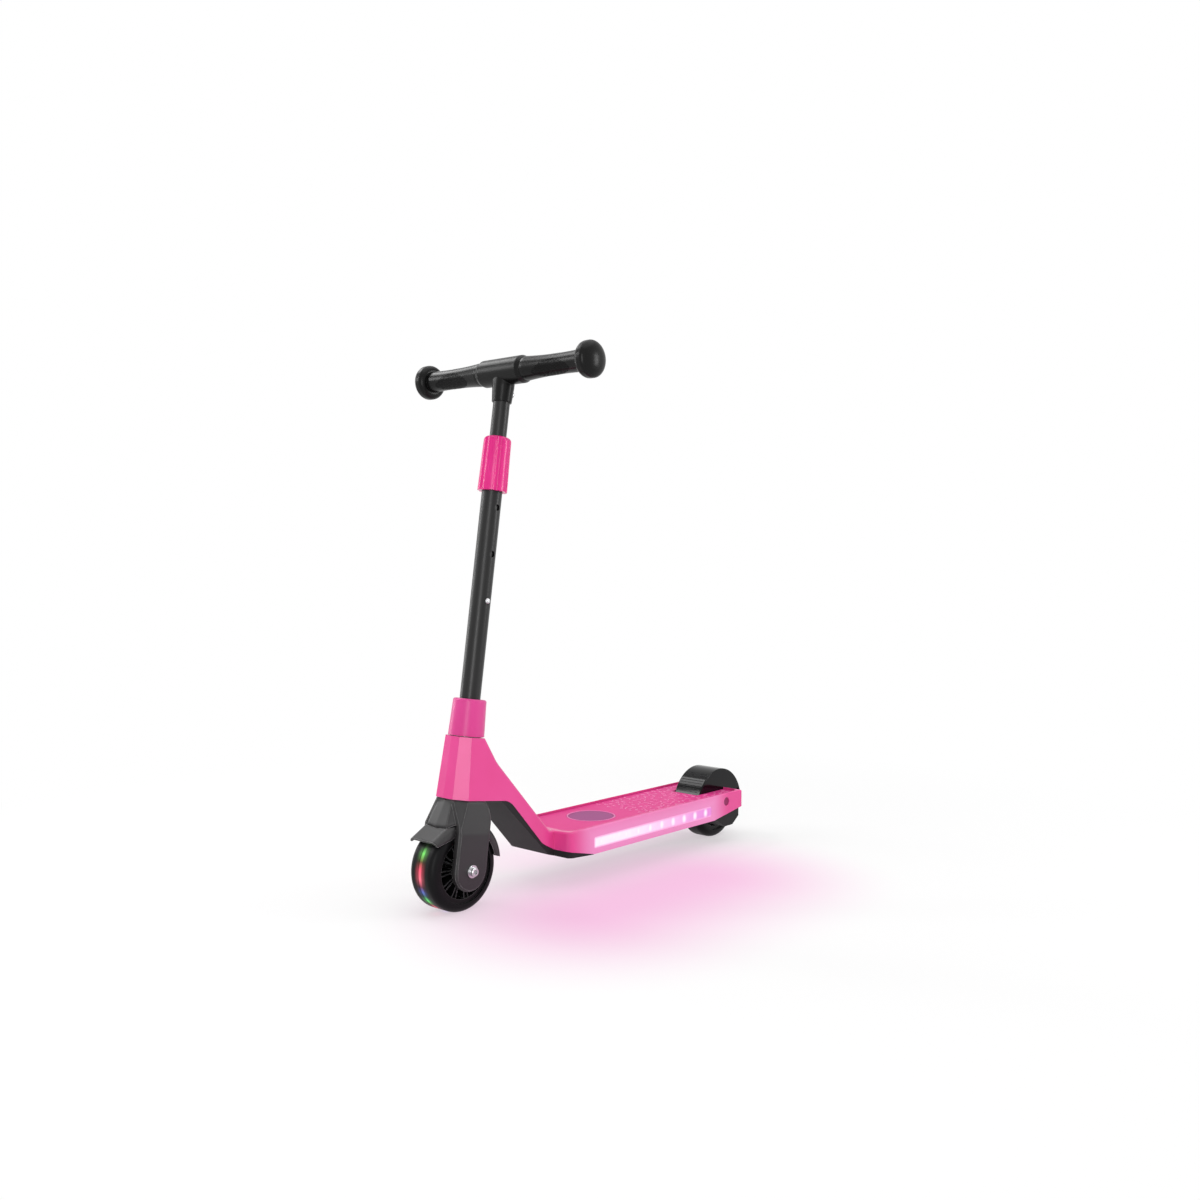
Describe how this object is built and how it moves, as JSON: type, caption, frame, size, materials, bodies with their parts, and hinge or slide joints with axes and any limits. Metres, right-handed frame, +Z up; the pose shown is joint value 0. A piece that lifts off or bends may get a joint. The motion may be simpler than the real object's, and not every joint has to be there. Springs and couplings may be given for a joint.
{
  "type": "kick scooter",
  "caption": "Child's two-wheel kick scooter with a lit tray deck, height-adjustable T-bar, twist collar, lit front wheel and a foot-pressed rear fender brake.",
  "frame": {"origin": "on the floor, under the middle of the whole scooter", "axes": "+X forward, +Y to the rider's left, +Z up"},
  "size_m": [0.6792, 0.3436, 0.7463],
  "materials": {
    "pink_shell": "satin moulded pink plastic",
    "pink_mat": "textured pink mat",
    "pink_collar": "glossy saturated pink plastic",
    "plug_pink": "dark pink plastic",
    "black_plastic": "matte black plastic",
    "fork_grey": "dark grey satin plastic",
    "black_gloss": "glossy black plastic",
    "black_paint": "satin black powder coat",
    "steel": "zinc plated steel",
    "bright_steel": "bright plated steel",
    "grip_rubber": "knurled black rubber",
    "tyre_black": "cast black polyurethane",
    "buffer_rubber": "soft rubber",
    "rim_black": "black moulded wheel core",
    "light_band": "clear lit band",
    "lens_clear": "clear lit strip",
    "board_white": "white light board",
    "board_green": "green circuit board",
    "contact_black": "black switch body",
    "battery_blue": "wrapped battery pack",
    "wire_red": "insulated wire",
    "switch_mauve": "mauve plastic disc",
    "switch_light": "light pink ring",
    "cup_white": "white plastic cup"
  },
  "bodies": {
    "frame": {"body_shell": "pink_shell", "chassis": "black_plastic", "deck_mat": "pink_mat", "head_tube": "steel", "lower_head_bearing": "steel", "upper_head_bearing": "steel", "switch_ring": "switch_light", "switch_cup": "cup_white", "switch_dome": "buffer_rubber", "contact_switch": "contact_black", "left_lens": "lens_clear", "right_lens": "lens_clear", "left_led_board": "board_white", "right_led_board": "board_white", "battery_pack": "battery_blue", "control_board": "board_green", "battery_door": "black_plastic", "chassis_screws": "steel", "wiring": "wire_red", "rear_axle_bolt": "steel", "rear_axle_nut": "steel", "rear_axle_spacers": "steel", "rear_axle_tube": "steel", "pivot_screws": "steel", "pivot_plugs": "plug_pink", "fender_buffers": "buffer_rubber"},
    "fork": {"fork": "fork_grey", "front_mudguard": "fork_grey", "mudguard_screws": "steel", "steerer": "steel", "head_spacer": "steel", "head_collar": "pink_collar", "lower_stem": "black_paint", "stem_cross_pin": "steel", "stem_bush": "black_plastic", "front_axle_bolt": "bright_steel", "front_axle_nut": "bright_steel", "front_axle_washers": "bright_steel", "front_axle_spacers": "steel", "front_axle_tube": "steel"},
    "front_wheel": {"front_rim": "rim_black", "front_tyre": "tyre_black", "front_bearings": "steel", "front_light_band": "light_band", "front_led_ring": "board_white"},
    "handlebar": {"upper_stem": "black_paint", "stem_end_bush": "black_plastic", "snap_spring": "steel", "tee": "black_paint", "tee_screw": "steel", "cross_bar": "black_paint", "left_grip": "grip_rubber", "right_grip": "grip_rubber"},
    "snap_button": {"snap_button": "bright_steel"},
    "twist_collar": {"twist_collar": "pink_collar"},
    "rear_wheel": {"rear_rim": "rim_black", "rear_tyre": "tyre_black", "rear_bearings": "steel"},
    "brake_fender": {"brake_fender": "black_gloss"},
    "foot_switch": {"foot_switch": "switch_mauve"}
  },
  "joints": [
    {"name": "steering", "type": "hinge", "parent": "frame", "child": "fork", "pos_m": [0.28457, 0, 0.0573], "axis": [-0.1478, 0, 0.989], "range_deg": [-35, 35]},
    {"name": "front_wheel_spin", "type": "hinge", "parent": "fork", "child": "front_wheel", "pos_m": [0.28259, 0, 0.057], "axis": [0, 1, 0], "continuous": true},
    {"name": "rear_wheel_spin", "type": "hinge", "parent": "frame", "child": "rear_wheel", "pos_m": [-0.28041, 0, 0.054], "axis": [0, 1, 0], "continuous": true},
    {"name": "bar_height", "type": "slide", "parent": "fork", "child": "handlebar", "axis": [-0.1478, 0, 0.989], "range_m": [0, 0.127], "deforming": ["snap_button", "snap_spring"]},
    {"name": "snap_button_press", "type": "slide", "parent": "handlebar", "child": "snap_button", "axis": [0, -1, 0], "range_m": [0, 0.005], "stiffness_N_per_m": 600, "springref_m": -0.002, "deforming": ["snap_spring"]},
    {"name": "twist_collar_turn", "type": "hinge", "parent": "fork", "child": "twist_collar", "pos_m": [0.20985, 0, 0.55724], "axis": [-0.1478, 0, 0.989], "range_deg": [0, 120]},
    {"name": "fender_brake", "type": "hinge", "parent": "frame", "child": "brake_fender", "pos_m": [-0.25041, 0, 0.0696], "axis": [0, -1, 0], "range_deg": [0, 4.5], "stiffness_Nm_per_rad": 12, "springref_deg": -1.15, "deforming": ["fender_buffers"]},
    {"name": "foot_switch_press", "type": "slide", "parent": "frame", "child": "foot_switch", "axis": [0, 0, -1], "range_m": [0, 0.002], "stiffness_N_per_m": 4000, "springref_m": -0.0003, "deforming": ["switch_dome"]}
  ]
}
